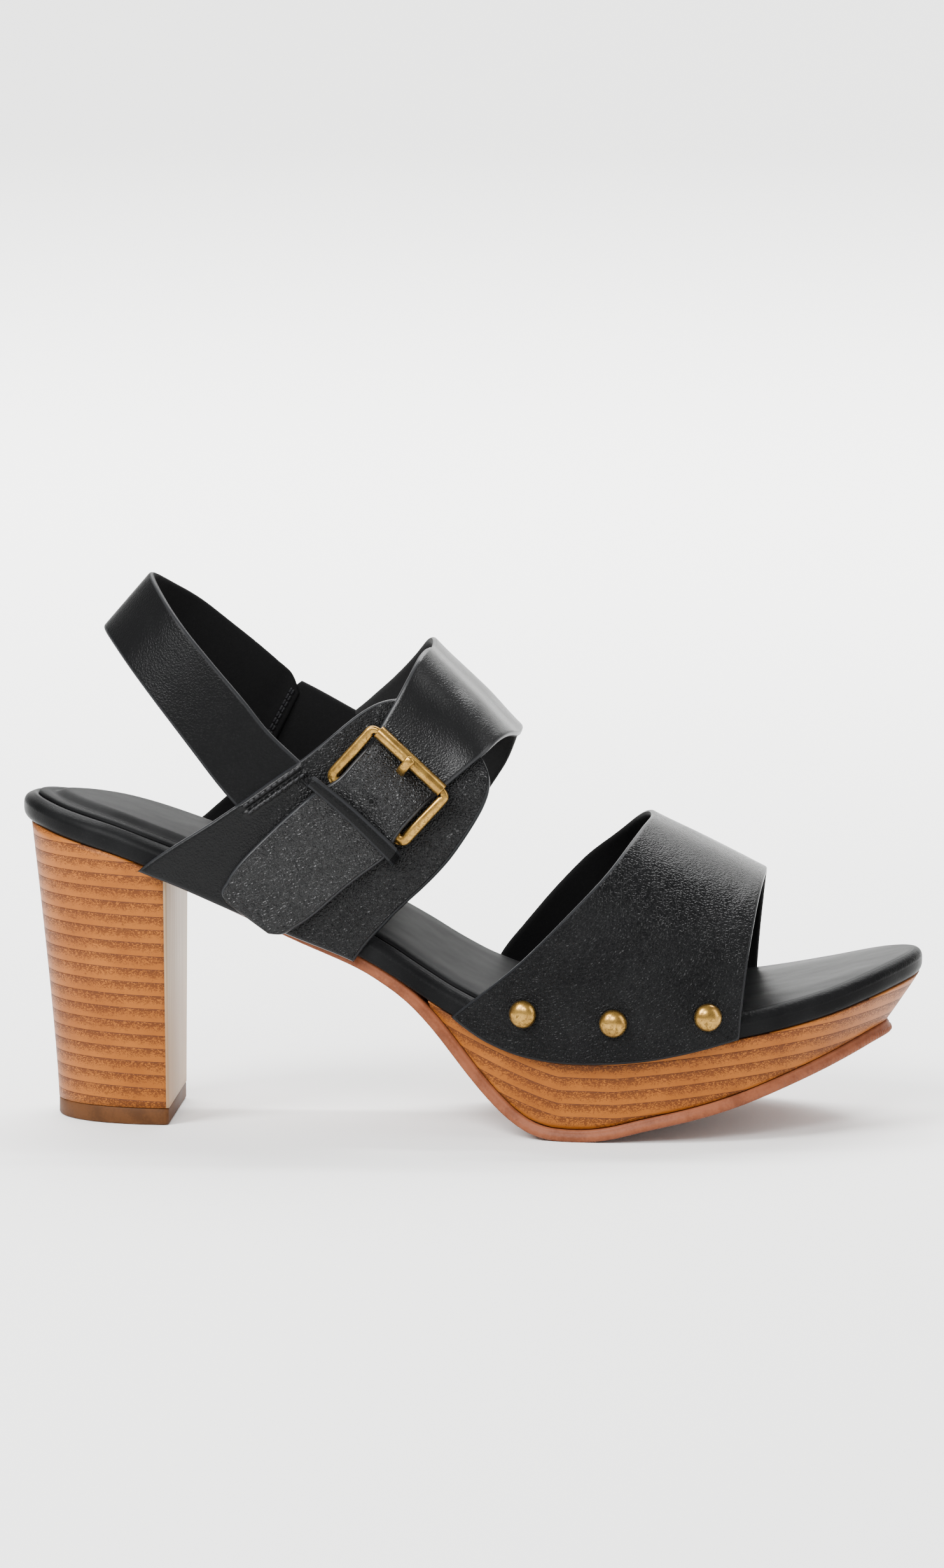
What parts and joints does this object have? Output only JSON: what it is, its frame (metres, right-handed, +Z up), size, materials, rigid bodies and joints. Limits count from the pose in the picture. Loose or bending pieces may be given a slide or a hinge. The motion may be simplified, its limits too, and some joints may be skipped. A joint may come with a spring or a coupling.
{
  "type": "platform heel sandal",
  "caption": "Black leather platform sandal with a tall stacked block heel, a wide studded vamp strap and a buckled ankle and instep strap.",
  "frame": {"origin": "middle of the bounding box on the floor plane that the heel tip and the forefoot stand on", "axes": "+X from the heel towards the toe, +Y towards the foot's inner side, +Z up"},
  "size_m": [0.246, 0.0968, 0.1496],
  "materials": {
    "black_leather": "black leather, satin on the sling and the vamp, pebbled on the buckle strap",
    "sock_leather": "smooth black leather with a soft sheen",
    "stacked_heel": "warm tan stacked leather look with thin brown lines and speckle",
    "sole_rubber": "reddish brown, matt",
    "heel_tip_rubber": "mid brown, matt",
    "aged_brass": "antique brass, soft gloss with brown mottling"
  },
  "bodies": {
    "root": {"heel_tip": "heel_tip_rubber", "heel_block": "stacked_heel", "outsole": "sole_rubber", "platform": "stacked_heel", "footbed": "black_leather", "sock": "sock_leather", "vamp_strap": "black_leather", "ankle_upper": "black_leather", "keeper": "black_leather", "buckle_frame": "aged_brass", "buckle_roller": "aged_brass", "buckle_prong": "aged_brass", "stud_outer_1": "aged_brass", "stud_outer_2": "aged_brass", "stud_outer_3": "aged_brass", "stud_inner_1": "aged_brass", "stud_inner_2": "aged_brass", "stud_inner_3": "aged_brass"}
  },
  "joints": []
}
